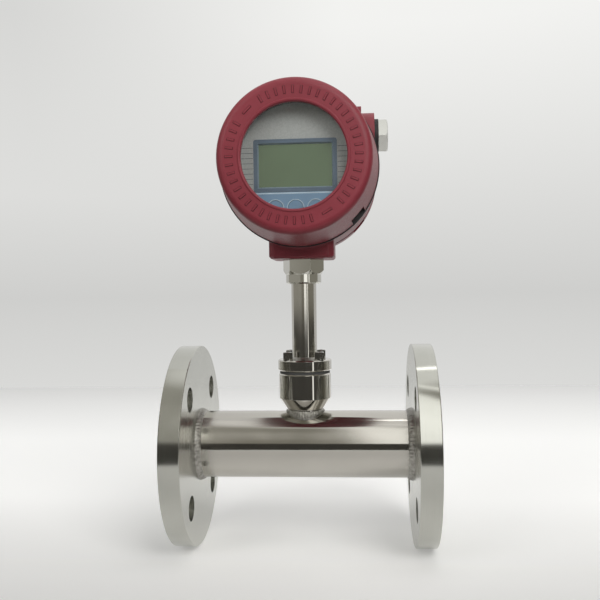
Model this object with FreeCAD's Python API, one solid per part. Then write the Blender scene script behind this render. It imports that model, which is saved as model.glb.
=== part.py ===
import FreeCAD, Part
import math
import os

# A thermal mass flow meter for gas in a pipe: a flanged measuring tube, a probe bolted into a
# welded socket, a neck, and a round two-chamber head with a display behind a window.
# Millimetres. The origin is the centre of the inlet flange's sealing face. X runs with the flow,
# Z runs up the neck, and the display looks towards -Y.

V = FreeCAD.Vector

# Flanges and measuring tube
FLANGE_D = 150.0
FLANGE_RIM = 15.0
FLANGE_EDGE = 0.5
RAISED_FACE_D = 88.0
RAISED_FACE_H = 3.0
BOLT_CIRCLE_D = 110.0
BOLT_HOLE_D = 18.0
BOLT_COUNT = 4
FLANGE_GAP = 160.0
TUBE_D = 50.0
TUBE_WALL = 4.0
TUBE_SETBACK = 5.0
SLIP_PLAY = 0.1
FLANGE_WELD_L = 4.2
FLANGE_WELD_H = 2.2

# Sensor socket and the bolted joint on it
SOCKET_D = 39.4
SOCKET_H = 18.6
SOCKET_CONE_H = 8.5
SOCKET_FOOT_D = 27.0
SOCKET_RISE = 2.0
SOCKET_BORE_D = 20.0
SOCKET_EDGE = 0.8
SOCKET_WELD = 2.2
GASKET_T = 2.1
GASKET_INSET = 0.8
PLATE_OVERHANG = 0.6
PLATE_T = 8.3
PLATE_EDGE = 0.8
JOINT_BOLT_COUNT = 4
JOINT_BOLT_INSET = 3.2
JOINT_BOLT_D = 4.0
JOINT_BOLT_AF = 7.0
JOINT_BOLT_HEAD = 5.0
JOINT_BOLT_GRIP = 9.0
JOINT_BOLT_PLAY = 0.15
WASHER_D = 7.4
WASHER_T = 1.0

# Probe
STEM_PLAY = 0.4
STEM_REACH = 3.0
GUARD_INSET = 0.6
GUARD_WALL = 1.4
GUARD_PAST_AXIS = 12.0
GUARD_RING_H = 3.0
GUARD_WINDOW_W = 11.0
SENSOR_D = 3.2
SENSOR_WALL = 0.5
SENSOR_PITCH = 6.4
SENSOR_PAST_AXIS = 5.0
ELEMENT_L = 8.0
ELEMENT_PLAY = 0.2
LEADS_D = 4.0
LEADS_PLAY = 0.5
CONNECTOR_D = 9.0
CONNECTOR_L = 9.0
CONNECTOR_RISE = 9.0

# Neck and hexagon coupling
NECK_D = 19.0
NECK_WALL = 2.0
NECK_LENGTH = 56.9
NECK_WELD = 1.6
NECK_SEAT = 7.0
NECK_SEAT_PLAY = 0.1
COLLAR_D = 26.8
COLLAR_H = 7.0
COLLAR_EDGE = 1.0
HEX_AF = 27.0
HEX_H = 11.5
HEX_CHAMFER_RISE = 3.3
HEX_TURN = 23.0
SWIVEL_D = 24.0
SWIVEL_L = 13.0
SWIVEL_FIT = 0.05
LEAD_WAY_D = 12.0
ORING_SECTION = 2.0
ORING_RISE = 5.0

# Head casting
CHAMBER_D = 96.0
CHAMBER_CORNER = 4.0
SPIGOT_WALL = 4.3
SPIGOT_L = 12.0
BARREL_STEP = 0.3
BARREL_FRONT = 28.0
BARREL_BEHIND_BOSS = 3.5
BARREL_EDGE = 0.8
PARTITION_T = 4.0
PARTITION_CLEAR = 1.0
NECK_BOSS_W = 47.8
NECK_BOSS_DEPTH = 46.0
NECK_BOSS_CORNER = 3.6
NECK_BOSS_ROUND = 2.0
NECK_BOSS_TOP = 5.0
NECK_BOSS_EDGE = 1.5
NECK_BOSS_DROP = 8.4
CAST_FILLET = 2.5
LUG_PROUD = 6.8
LUG_DROP = 2.2
LUG_SIZE = 14.0
LUG_L = 10.0
LOCK_SCREW_D = 3.0
LOCK_SCREW_PLAY = 0.1
LOCK_SCREW_INSET = 0.1

# Cable entries and their plugs
ENTRY_RISE = 26.9
ENTRY_BOSS_D = 34.0
ENTRY_FACING = 1.8
ENTRY_THREAD_D = 20.0
THREAD_PLAY = 0.3
PLUG_AF = 23.0
PLUG_HEAD = 6.9
LEFT_PLUG_HEAD = 2.0
PLUG_TURN = 9.0
PLUG_SHANK = 12.0
PLUG_EDGE = 1.2
PLUG_SEAL_T = 3.0
PLUG_SEAL_D = 25.0

# Covers and window
COVER_WALL = 4.2
COVER_CORNER = 5.0
COVER_SEAL_T = 2.5
FRONT_SEAL_PROUD = 0.7
REAR_SEAL_INSET = 2.2
FRONT_COVER_L = 47.5
FRONT_COVER_TAPER = 5.2
FRONT_COVER_RELIEF = 3.5
REAR_COVER_L = 22.3
REAR_COVER_FLOOR = 6.0
INNER_CORNER = 2.0
NOTCH_W = 13.0
NOTCH_L = 16.0
NOTCH_DEPTH = 2.8
NOTCH_ANGLE = -41.0
NOTCH_COUNT = 2
WINDOW_D = 70.4
WINDOW_BEAD_W = 2.2
WINDOW_BEAD_H = 0.5
WINDOW_EDGE = 1.2
WINDOW_LIP = 3.2
WINDOW_GASKET_T = 0.8
WINDOW_GASKET_W = 3.6
GLASS_SEAT = 4.6
GLASS_T = 6.0
GLASS_PLAY = 0.3
RETAINER_STEP = 2.7
RETAINER_LAP = 3.0
RETAINER_T = 2.5
RETAINER_SLOT_W = 4.0
RETAINER_SLOT_COUNT = 4

# Display stack
DISPLAY_GAP = 0.7
DISPLAY_PLAY = 2.0
DISPLAY_PLATE_T = 1.6
BOARD_T = 1.6
LCD_W = 51.0
LCD_H = 30.2
LCD_DROP = 4.6
LCD_RECESS = 1.2
LCD_MODULE_T = 6.6
FRAME_BAND = 2.6
FRAME_CORNER = 1.6
FRAME_PROUD = 0.25
FRAME_PLAY = 0.1
KEY_D = 10.0
KEY_PITCH = 13.6
KEY_GAP = 10.8
KEY_PROUD = 0.3
KEY_PLAY = 0.3
KEY_FLANGE = 1.2
KEY_FLANGE_T = 0.8
KEY_STEM_D = 3.0
KEY_TRAVEL = 0.5
SWITCH_W = 6.0
SWITCH_H = 3.6
STACK_INSET = 4.5
STACK_COUNT = 4
SCREW_D = 2.6
SCREW_HEAD_D = 5.0
SCREW_HEAD_H = 1.2
SCREW_GRIP = 5.0
SCREW_PLAY = 0.15
SPACER_D = 5.0
STANDOFF_AF = 5.0
STANDOFF_L = 25.0
STACK_BOSS_D = 7.0
LINK_W = 22.0
LINK_H = 5.0
LINK_INSET = 14.0
PROCESSOR_W = 14.0
PROCESSOR_T = 1.6
CAPACITOR_D = 8.0
CAPACITOR_L = 12.0
CAPACITOR_PITCH = 11.0
CAPACITOR_INSET = 22.0
TRANSFORMER_W = 18.0
TRANSFORMER_H = 15.0
TRANSFORMER_T = 13.0
TRANSFORMER_INSET = 24.0

# Terminal side
FEEDTHROUGH_D = 14.0
FEEDTHROUGH_FLANGE = 2.0
FEEDTHROUGH_FLANGE_T = 2.0
FEEDTHROUGH_INSET = 21.0
FEEDTHROUGH_PLAY = 0.1
TERMINAL_BOARD_W = 72.0
TERMINAL_BOARD_H = 40.0
TERMINAL_BOSS_H = 4.0
TERMINAL_BOSS_D = 7.0
TERMINAL_SCREW_INSET = 4.5
TERMINAL_HEAD_D = 5.5
TERMINAL_HEAD_H = 2.2
TERMINAL_COUNT = 8
TERMINAL_PITCH = 7.0
TERMINAL_H = 18.0
TERMINAL_DEPTH = 14.0
TERMINAL_WELL_D = 5.4
TERMINAL_WELL_DEPTH = 3.0
TERMINAL_WELL_RISE = 3.5
TERMINAL_WAY = 4.6
TERMINAL_WAY_DEPTH = 6.0
CLAMP_SCREW_PLAY = 0.3
CLAMP_SCREW_H = 2.0
EARTH_X = -22.0
EARTH_INSET = 15.0
EARTH_BOSS_D = 10.0
EARTH_BOSS_H = 5.0
EARTH_SCREW_D = 4.0
EARTH_HEAD_D = 8.0
EARTH_HEAD_H = 3.0

# Places worked out along the tube
FLANGE_T = RAISED_FACE_H + FLANGE_RIM
FACE_TO_FACE = FLANGE_GAP + 2 * FLANGE_T
NECK_X = FACE_TO_FACE / 2
TUBE_R = TUBE_D / 2
TUBE_BORE_R = TUBE_R - TUBE_WALL
FLANGE_BORE_R = TUBE_R + SLIP_PLAY

# Places worked out up the neck
FOOT_Z = TUBE_R + SOCKET_RISE
SHOULDER_Z = FOOT_Z + SOCKET_CONE_H
SOCKET_Z = SHOULDER_Z + SOCKET_H
PLATE_Z = SOCKET_Z + GASKET_T
PLATE_TOP_Z = PLATE_Z + PLATE_T
COLLAR_Z = PLATE_TOP_Z + NECK_LENGTH
HEX_Z = COLLAR_Z + COLLAR_H
BOSS_Z = HEX_Z + HEX_H
SOCKET_BORE_R = SOCKET_BORE_D / 2
JOINT_BOLT_R = SOCKET_D / 2 - JOINT_BOLT_INSET
STEM_R = SOCKET_BORE_R - STEM_PLAY
STEM_Z = TUBE_BORE_R - STEM_REACH
LEADS_HOLE_R = LEADS_D / 2 + LEADS_PLAY

# Sizes worked out from the chamber's bore outwards, and from the window outwards
CHAMBER_R = CHAMBER_D / 2
SPIGOT_R = CHAMBER_R + SPIGOT_WALL
THREAD_R = SPIGOT_R + THREAD_PLAY
COVER_R = THREAD_R + COVER_WALL
BARREL_R = COVER_R - BARREL_STEP
HEAD_RISE = BARREL_R + NECK_BOSS_DROP
HEAD_Z = BOSS_Z + HEAD_RISE
ENTRY_Z = HEAD_Z + ENTRY_RISE
ENTRY_REACH = BARREL_R - ENTRY_FACING
LUG_CORNER = (COVER_R + LUG_PROUD) * math.sqrt(0.5)
WINDOW_R = WINDOW_D / 2
GLASS_R = WINDOW_R + GLASS_SEAT
RETAINER_R = GLASS_R + RETAINER_STEP
RETAINER_BORE_R = GLASS_R - RETAINER_LAP
BOARD_R = CHAMBER_R - DISPLAY_PLAY
STACK_R = BOARD_R - STACK_INSET
KEY_DROP = LCD_DROP + LCD_H / 2 + FRAME_BAND + KEY_GAP
LINK_RISE = BOARD_R - LINK_INSET
CAPACITOR_DROP = BOARD_R - CAPACITOR_INSET
TRANSFORMER_X = BOARD_R - TRANSFORMER_INSET
FEEDTHROUGH_RISE = CHAMBER_R - FEEDTHROUGH_INSET
EARTH_DROP = CHAMBER_R - EARTH_INSET

# Places worked out along the head, front to back
FRONT_EDGE_Y = -BARREL_FRONT - COVER_SEAL_T
FRONT_FACE_Y = FRONT_EDGE_Y - FRONT_COVER_L
LIP_Y = FRONT_FACE_Y + WINDOW_LIP
GLASS_Y = LIP_Y + WINDOW_GASKET_T
RETAINER_Y = GLASS_Y + GLASS_T
RETAINER_BACK_Y = RETAINER_Y + RETAINER_T
PLATE_FRONT_Y = RETAINER_BACK_Y + DISPLAY_GAP
PLATE_BACK_Y = PLATE_FRONT_Y + DISPLAY_PLATE_T
LCD_Y = PLATE_FRONT_Y + LCD_RECESS
BOARD_Y = LCD_Y + LCD_MODULE_T
BOARD_BACK_Y = BOARD_Y + BOARD_T
MAIN_Y = BOARD_BACK_Y + STANDOFF_L
MAIN_BACK_Y = MAIN_Y + BOARD_T
PARTITION_BACK_Y = -SWIVEL_D / 2 - PARTITION_CLEAR
PARTITION_Y = PARTITION_BACK_Y - PARTITION_T
TERMINAL_BOARD_Y = PARTITION_BACK_Y + TERMINAL_BOSS_H
TERMINAL_Y = TERMINAL_BOARD_Y + BOARD_T
BARREL_REAR = NECK_BOSS_DEPTH / 2 + BARREL_BEHIND_BOSS
REAR_EDGE_Y = BARREL_REAR + COVER_SEAL_T
REAR_FACE_Y = REAR_EDGE_Y + REAR_COVER_L


# Shared helpers

def outline(points, place):
    """A closed wire through (u, v) or (u, v, corner radius) points, put in space by place(u, v)."""
    flat = [V(p[0], p[1], 0) for p in points]
    radii = [p[2] if len(p) == 3 else 0.0 for p in points]
    corners = []
    for i, here in enumerate(flat):
        if radii[i] == 0:
            corners.append([here])
            continue
        back = (flat[i - 1] - here).normalize()
        ahead = (flat[(i + 1) % len(flat)] - here).normalize()
        half = back.getAngle(ahead) / 2
        reach = radii[i] / math.tan(half)
        inward = (back + ahead).normalize()
        middle = here + inward * (radii[i] / math.sin(half) - radii[i])
        corners.append([here + back * reach, middle, here + ahead * reach])
    edges = []
    for i, corner in enumerate(corners):
        spots = [place(p.x, p.y) for p in corner]
        if len(spots) == 3:
            edges.append(Part.Arc(*spots).toShape())
        following = corners[(i + 1) % len(corners)][0]
        edges.append(Part.makeLine(spots[-1], place(following.x, following.y)))
    return Part.Wire(edges)


def turned(points, place, centre, axis):
    return Part.Face(outline(points, place)).revolve(centre, axis, 360)


def around_tube(points):
    """Turns (radius, x) points about the measuring tube's axis."""
    return turned(points, lambda r, x: V(x, 0, r), V(0, 0, 0), V(1, 0, 0))


def around_neck(points):
    """Turns (radius, z) points about the neck's axis."""
    return turned(points, lambda r, z: V(NECK_X + r, 0, z), V(NECK_X, 0, 0), V(0, 0, 1))


def around_head(points, x=0.0, rise=0.0):
    """Turns (radius, y) points about the head's axis, or about a line beside it."""
    centre = V(NECK_X + x, 0, HEAD_Z + rise)
    return turned(points, lambda r, y: centre + V(r, y, 0), centre, V(0, 1, 0))


def around_entry(points, side):
    """Turns (radius, distance from the neck axis) points about the cable entries' axis."""
    centre = V(NECK_X, 0, ENTRY_Z)
    return turned(points, lambda r, out: centre + V(side * out, 0, r), centre, V(1, 0, 0))


def ring(inner, outer, start, end):
    """The outline of a plain ring or disc, for the turning functions."""
    return [(inner, start), (outer, start), (outer, end), (inner, end)]


def prism(points, place, push):
    return Part.Face(outline(points, place)).extrude(push)


def hexagon(across_flats, turn=0.0):
    return on_circle(across_flats / math.sqrt(3), 6, turn)


def on_circle(radius, count, first):
    angles = [math.radians(first + 360.0 * i / count) for i in range(count)]
    return [(radius * math.cos(a), radius * math.sin(a)) for a in angles]


def rectangle(width, height, corner=0.0):
    u = width / 2
    v = height / 2
    return [(-u, -v, corner), (u, -v, corner), (u, v, corner), (-u, v, corner)]


def on_neck(z):
    """Places (u, v) on a level plane about the neck's axis."""
    return lambda u, v: V(NECK_X + u, v, z)


def on_head(y, rise=0.0):
    """Places (u, v) on an upright plane about the head's axis."""
    return lambda u, v: V(NECK_X + u, y, HEAD_Z + rise + v)


def head_plate(points, start, end, rise=0.0):
    return prism(points, on_head(start, rise), V(0, end - start, 0))


def neck_rod(radius, start, end, u=0.0, v=0.0):
    return Part.makeCylinder(radius, end - start, V(NECK_X + u, v, start))


def head_rod(radius, start, end, u=0.0, v=0.0):
    return Part.makeCylinder(radius, end - start, V(NECK_X + u, start, HEAD_Z + v), V(0, 1, 0))


def whole(shape):
    """One clean solid from the result of a cut or a fuse."""
    clean = shape.removeSplitter()
    return clean.Solids[0] if len(clean.Solids) == 1 else clean


# Flanges, tube and welds

def flange_blank(x, way):
    """A plate flange with its sealing face at x, its rim on the side that way (+1 or -1) points to."""
    rim = FLANGE_D / 2
    points = [
        (FLANGE_BORE_R, 0),
        (RAISED_FACE_D / 2, 0),
        (RAISED_FACE_D / 2, RAISED_FACE_H),
        (rim - FLANGE_EDGE, RAISED_FACE_H),
        (rim, RAISED_FACE_H + FLANGE_EDGE),
        (rim, FLANGE_T - FLANGE_EDGE),
        (rim - FLANGE_EDGE, FLANGE_T),
        (FLANGE_BORE_R, FLANGE_T),
    ]
    return around_tube([(r, x + way * d) for r, d in points])


def flange(x, way):
    blank = flange_blank(x, way)
    first = 180.0 / BOLT_COUNT
    holes = []
    for v, w in on_circle(BOLT_CIRCLE_D / 2, BOLT_COUNT, first):
        holes.append(Part.makeCylinder(BOLT_HOLE_D / 2, 2 * FLANGE_T, V(x - FLANGE_T, v, w), V(1, 0, 0)))
    return whole(blank.cut(holes))


def flange_welds(x, way):
    """The fillet outside on the flange's inner face, and the seal weld in the bore."""
    back = x + way * FLANGE_T
    fillet = around_tube([
        (TUBE_R, back),
        (TUBE_R + FLANGE_WELD_H, back),
        (TUBE_R, back + way * FLANGE_WELD_L),
    ])
    end = x + way * TUBE_SETBACK
    seal = around_tube([
        (FLANGE_BORE_R, end),
        (TUBE_BORE_R, end),
        (FLANGE_BORE_R, x + way * (TUBE_SETBACK - TUBE_WALL)),
    ])
    return Part.makeCompound([fillet, seal])


def flow_tube():
    tube = around_tube(ring(TUBE_BORE_R, TUBE_R, TUBE_SETBACK, FACE_TO_FACE - TUBE_SETBACK))
    return whole(tube.cut(neck_rod(SOCKET_BORE_R, 0, FOOT_Z)))


def tube_bar():
    """The tube's outside as a solid bar, to cope what stands on it."""
    return Part.makeCylinder(TUBE_R, FACE_TO_FACE, V(0, 0, 0), V(1, 0, 0))


# Socket, probe and bolted joint

def joint_bolt_places():
    return on_circle(JOINT_BOLT_R, JOINT_BOLT_COUNT, 180.0 / JOINT_BOLT_COUNT)


def joint_bolt_holes(start, end):
    radius = JOINT_BOLT_D / 2 + JOINT_BOLT_PLAY
    return [neck_rod(radius, start, end, u, v) for u, v in joint_bolt_places()]


def sensor_socket():
    body = around_neck([
        (SOCKET_BORE_R, 0),
        (SOCKET_FOOT_D / 2, 0),
        (SOCKET_FOOT_D / 2, FOOT_Z),
        (SOCKET_D / 2, SHOULDER_Z),
        (SOCKET_D / 2, SOCKET_Z - SOCKET_EDGE),
        (SOCKET_D / 2 - SOCKET_EDGE, SOCKET_Z),
        (SOCKET_BORE_R, SOCKET_Z),
    ])
    holes = joint_bolt_holes(SOCKET_Z - JOINT_BOLT_GRIP - JOINT_BOLT_D / 2, SOCKET_Z)
    return whole(body.cut([tube_bar()] + holes))


def socket_weld():
    """The bead that fills the crescent between the socket's foot and the tube's crown."""
    foot = SOCKET_FOOT_D / 2
    bead = around_neck([
        (foot, 0),
        (foot + SOCKET_WELD, 0),
        (foot + SOCKET_WELD, TUBE_R - SOCKET_WELD),
        (foot + SOCKET_WELD / 4, FOOT_Z),
        (foot, FOOT_Z),
    ])
    return whole(bead.cut(tube_bar()))


def sensor_gasket():
    body = around_neck(ring(SOCKET_BORE_R, SOCKET_D / 2 - GASKET_INSET, SOCKET_Z, PLATE_Z))
    return whole(body.cut(joint_bolt_holes(SOCKET_Z, PLATE_Z)))


def sensor_plate():
    rim = SOCKET_D / 2 + PLATE_OVERHANG
    body = around_neck([
        (LEADS_HOLE_R, PLATE_Z),
        (rim - PLATE_EDGE, PLATE_Z),
        (rim, PLATE_Z + PLATE_EDGE),
        (rim, PLATE_TOP_Z - PLATE_EDGE),
        (rim - PLATE_EDGE, PLATE_TOP_Z),
        (LEADS_HOLE_R, PLATE_TOP_Z),
    ])
    return whole(body.cut(joint_bolt_holes(PLATE_Z, PLATE_TOP_Z)))


def joint_bolt(u, v):
    seat = PLATE_TOP_Z + WASHER_T
    facing = math.degrees(math.atan2(v, u)) + 30.0
    corners = [(u + a, v + b) for a, b in hexagon(JOINT_BOLT_AF, facing)]
    head = prism(corners, on_neck(seat), V(0, 0, JOINT_BOLT_HEAD))
    shank = neck_rod(JOINT_BOLT_D / 2, SOCKET_Z - JOINT_BOLT_GRIP, seat, u, v)
    return whole(head.fuse(shank))


def joint_washer(u, v):
    disc = neck_rod(WASHER_D / 2, PLATE_TOP_Z, PLATE_TOP_Z + WASHER_T, u, v)
    hole = neck_rod(JOINT_BOLT_D / 2 + JOINT_BOLT_PLAY, PLATE_TOP_Z, PLATE_TOP_Z + WASHER_T, u, v)
    return disc.cut(hole)


def probe_stem():
    return around_neck([
        (0, STEM_Z),
        (STEM_R, STEM_Z),
        (STEM_R, PLATE_Z),
        (LEADS_HOLE_R, PLATE_Z),
        (LEADS_HOLE_R, STEM_Z + STEM_REACH),
        (0, STEM_Z + STEM_REACH),
    ])


def probe_guard():
    """A shield tube under the stem, open up and down stream, closed by a ring below the sensors."""
    outer = STEM_R - GUARD_INSET
    tube = around_neck(ring(outer - GUARD_WALL, outer, -GUARD_PAST_AXIS, STEM_Z))
    sill = -GUARD_PAST_AXIS + GUARD_RING_H
    window = Part.makeBox(
        4 * outer, GUARD_WINDOW_W, STEM_Z - GUARD_RING_H - sill,
        V(NECK_X - 2 * outer, -GUARD_WINDOW_W / 2, sill))
    return whole(tube.cut(window))


def sensor_sheath(v):
    """A closed thermowell with a round tip, standing off the neck axis by v."""
    outer = SENSOR_D / 2
    tip = -SENSOR_PAST_AXIS
    sheath = neck_rod(outer, tip + outer, STEM_Z, 0, v)
    end = Part.makeSphere(outer, V(NECK_X, v, tip + outer))
    hollow = neck_rod(outer - SENSOR_WALL, tip + outer, STEM_Z, 0, v)
    return whole(sheath.fuse(end).cut(hollow))


def sensor_element(v):
    floor = SENSOR_D / 2 - SENSOR_PAST_AXIS
    return neck_rod(SENSOR_D / 2 - SENSOR_WALL - ELEMENT_PLAY, floor, floor + ELEMENT_L, 0, v)


# Neck, coupling and leads

def neck_tube():
    return around_neck(ring(NECK_D / 2 - NECK_WALL, NECK_D / 2, PLATE_TOP_Z, COLLAR_Z + NECK_SEAT))


def neck_weld():
    return around_neck([
        (NECK_D / 2, PLATE_TOP_Z),
        (NECK_D / 2 + NECK_WELD, PLATE_TOP_Z),
        (NECK_D / 2, PLATE_TOP_Z + NECK_WELD),
    ])


def hex_coupling():
    collar = COLLAR_D / 2
    seat = NECK_D / 2 + NECK_SEAT_PLAY
    corner = HEX_AF / math.sqrt(3)
    spigot = SWIVEL_D / 2
    groove = spigot - ORING_SECTION
    groove_z = BOSS_Z + ORING_RISE
    top = BOSS_Z + SWIVEL_L
    blank = prism(hexagon(HEX_AF, HEX_TURN - 90.0), on_neck(HEX_Z), V(0, 0, HEX_H))
    chamfer = around_neck([
        (0, HEX_Z),
        (collar, HEX_Z),
        (corner, HEX_Z + HEX_CHAMFER_RISE),
        (corner, BOSS_Z),
        (0, BOSS_Z),
    ])
    foot = around_neck([
        (0, COLLAR_Z),
        (collar - COLLAR_EDGE, COLLAR_Z),
        (collar, COLLAR_Z + COLLAR_EDGE),
        (collar, HEX_Z),
        (0, HEX_Z),
    ])
    post = around_neck([
        (0, BOSS_Z),
        (spigot, BOSS_Z),
        (spigot, groove_z),
        (groove, groove_z),
        (groove, groove_z + ORING_SECTION),
        (spigot, groove_z + ORING_SECTION),
        (spigot, top),
        (0, top),
    ])
    body = blank.common(chamfer).fuse([foot, post])
    ways = [
        neck_rod(seat, COLLAR_Z, COLLAR_Z + NECK_SEAT),
        neck_rod(LEAD_WAY_D / 2, COLLAR_Z, top),
    ]
    return whole(body.cut(ways))


def swivel_oring():
    section = ORING_SECTION / 2
    centre = V(NECK_X, 0, BOSS_Z + ORING_RISE + section)
    return Part.makeTorus(SWIVEL_D / 2 - section, section, centre)


def leads_top():
    """The leads end just above the floor of the terminal chamber."""
    return HEAD_Z - CHAMBER_R + CONNECTOR_RISE


def sensor_leads():
    return neck_rod(LEADS_D / 2, STEM_Z + STEM_REACH, leads_top())


def lead_connector():
    return neck_rod(CONNECTOR_D / 2, leads_top(), leads_top() + CONNECTOR_L)


# Head casting

def barrel():
    spigot = SPIGOT_R
    side = BARREL_R
    return around_head([
        (0, -BARREL_FRONT - SPIGOT_L),
        (spigot - BARREL_EDGE, -BARREL_FRONT - SPIGOT_L),
        (spigot, -BARREL_FRONT - SPIGOT_L + BARREL_EDGE),
        (spigot, -BARREL_FRONT),
        (side - BARREL_EDGE, -BARREL_FRONT),
        (side, -BARREL_FRONT + BARREL_EDGE),
        (side, BARREL_REAR - BARREL_EDGE),
        (side - BARREL_EDGE, BARREL_REAR),
        (spigot, BARREL_REAR),
        (spigot, BARREL_REAR + SPIGOT_L - BARREL_EDGE),
        (spigot - BARREL_EDGE, BARREL_REAR + SPIGOT_L),
        (0, BARREL_REAR + SPIGOT_L),
    ])


def neck_boss():
    """The square pad under the barrel, its upright corners cut off flat, bevelled below."""
    u = NECK_BOSS_W / 2
    v = NECK_BOSS_DEPTH / 2
    cut = NECK_BOSS_CORNER
    corners = [
        (-u, cut - v), (cut - u, -v), (u - cut, -v), (u, cut - v),
        (u, v - cut), (u - cut, v), (cut - u, v), (-u, v - cut),
    ]
    square = [(a, b, NECK_BOSS_ROUND) for a, b in corners]
    block = prism(square, on_neck(BOSS_Z), V(0, 0, HEAD_RISE - CHAMBER_R + NECK_BOSS_TOP))
    rim = [e for e in block.Edges if max(v.Z for v in e.Vertexes) < BOSS_Z + NECK_BOSS_EDGE / 2]
    return block.makeChamfer(NECK_BOSS_EDGE, rim)


def entry_boss(side):
    """A cable boss as cast, long enough to stand clear of the barrel all round."""
    return around_entry(ring(0, ENTRY_BOSS_D / 2, CHAMBER_R / 2, BARREL_R + CAST_FILLET), side)


def entry_facing(side):
    """What the spot face of a cable entry takes off the boss and the barrel."""
    return around_entry(ring(0, ENTRY_BOSS_D / 2 + CAST_FILLET, ENTRY_REACH, 2 * BARREL_R), side)


def meeting_edges(body, one, other):
    """The edges of body that lie on the skins of both solids it was fused from."""
    found = []
    for edge in body.Edges:
        middle = Part.Vertex(edge.valueAt((edge.FirstParameter + edge.LastParameter) / 2))
        if all(solid.Shells[0].distToShape(middle)[0] < 1e-4 for solid in (one, other)):
            found.append(edge)
    return found


def casting():
    """The barrel with its pads, rounded where they meet."""
    body = barrel()
    for pad in (neck_boss(), entry_boss(1), entry_boss(-1)):
        joined = body.fuse(pad)
        body = joined.makeFillet(CAST_FILLET, meeting_edges(joined, barrel(), pad))
    return body


def lock_lug():
    low = LUG_CORNER - LUG_SIZE
    corner = V(NECK_X + low, -BARREL_FRONT + BARREL_EDGE, HEAD_Z + low - LUG_DROP)
    return Part.makeBox(LUG_SIZE, LUG_L, LUG_SIZE, corner)


def lock_screw_place():
    """The screw bears on the front cover's rim, on the line from the head axis to the lug."""
    reach = (COVER_R - LOCK_SCREW_D / 2 - LOCK_SCREW_INSET) * math.sqrt(0.5)
    return reach, reach


def stack_places():
    return on_circle(STACK_R, STACK_COUNT, 180.0 / STACK_COUNT)


def stack_holes(start, end):
    radius = SCREW_D / 2 + SCREW_PLAY
    return [head_rod(radius, start, end, u, v) for u, v in stack_places()]


def terminal_screw_places():
    u = TERMINAL_BOARD_W / 2 - TERMINAL_SCREW_INSET
    v = TERMINAL_BOARD_H / 2 - TERMINAL_SCREW_INSET
    return [(-u, -v), (u, -v), (u, v), (-u, v)]


def terminal_screw_holes(start, end):
    radius = SCREW_D / 2 + SCREW_PLAY
    return [head_rod(radius, start, end, u, v) for u, v in terminal_screw_places()]


def chamber(floor, mouth):
    """A round chamber with a rounded floor, open at its mouth."""
    radius = CHAMBER_R
    return around_head([(0, floor), (radius, floor, CHAMBER_CORNER), (radius, mouth), (0, mouth)])


def housing_body():
    body = casting().fuse(lock_lug())
    u, v = lock_screw_place()
    entry_r = ENTRY_THREAD_D / 2
    cuts = [
        entry_facing(1),
        entry_facing(-1),
        chamber(PARTITION_Y, -BARREL_FRONT - SPIGOT_L),
        chamber(PARTITION_BACK_Y, BARREL_REAR + SPIGOT_L),
        neck_rod(SWIVEL_D / 2 + SWIVEL_FIT, BOSS_Z, HEAD_Z - CHAMBER_R + SWIVEL_D / 4),
        around_entry(ring(0, entry_r, CHAMBER_R / 2, ENTRY_REACH), 1),
        around_entry(ring(0, entry_r, CHAMBER_R / 2, ENTRY_REACH), -1),
        head_rod(FEEDTHROUGH_D / 2 + FEEDTHROUGH_PLAY, PARTITION_Y, PARTITION_BACK_Y, 0, FEEDTHROUGH_RISE),
        head_rod(LOCK_SCREW_D / 2 + LOCK_SCREW_PLAY, -BARREL_FRONT, -BARREL_FRONT + BARREL_EDGE + LUG_L, u, v),
    ]
    shell = body.cut(cuts)
    bosses = [head_rod(STACK_BOSS_D / 2, MAIN_BACK_Y, PARTITION_Y, u, v) for u, v in stack_places()]
    for u, v in terminal_screw_places():
        bosses.append(head_rod(TERMINAL_BOSS_D / 2, PARTITION_BACK_Y, TERMINAL_BOARD_Y, u, v))
    earth_end = PARTITION_BACK_Y + EARTH_BOSS_H
    bosses.append(head_rod(EARTH_BOSS_D / 2, PARTITION_BACK_Y, earth_end, EARTH_X, -EARTH_DROP))
    taps = stack_holes(MAIN_BACK_Y, PARTITION_Y)
    taps += terminal_screw_holes(PARTITION_BACK_Y, TERMINAL_BOARD_Y)
    earth_r = EARTH_SCREW_D / 2 + SCREW_PLAY
    taps.append(head_rod(earth_r, PARTITION_BACK_Y, earth_end, EARTH_X, -EARTH_DROP))
    return whole(shell.fuse(bosses).cut(taps))


def lock_screw():
    u, v = lock_screw_place()
    return head_rod(LOCK_SCREW_D / 2, -BARREL_FRONT + BARREL_EDGE, -BARREL_FRONT + LUG_L, u, v)


def feedthrough():
    rise = FEEDTHROUGH_RISE
    body = head_rod(FEEDTHROUGH_D / 2, PARTITION_Y, PARTITION_BACK_Y, 0, rise)
    flange_r = FEEDTHROUGH_D / 2 + FEEDTHROUGH_FLANGE
    rim = head_rod(flange_r, PARTITION_Y - FEEDTHROUGH_FLANGE_T, PARTITION_Y, 0, rise)
    return whole(body.fuse(rim))


# Covers

def notches(edge, inward):
    """Spanner notches in a cover's rim: edge is the rim's y, inward the way (+1 or -1) into the cover."""
    reach = COVER_R - NOTCH_DEPTH
    low = min(edge, edge + inward * NOTCH_L)
    cuts = []
    for i in range(NOTCH_COUNT):
        block = Part.makeBox(COVER_R, NOTCH_L, NOTCH_W, V(NECK_X + reach, low, HEAD_Z - NOTCH_W / 2))
        angle = NOTCH_ANGLE + 360.0 * i / NOTCH_COUNT
        cuts.append(block.rotated(V(NECK_X, 0, HEAD_Z), V(0, -1, 0), angle))
    return cuts


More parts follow.
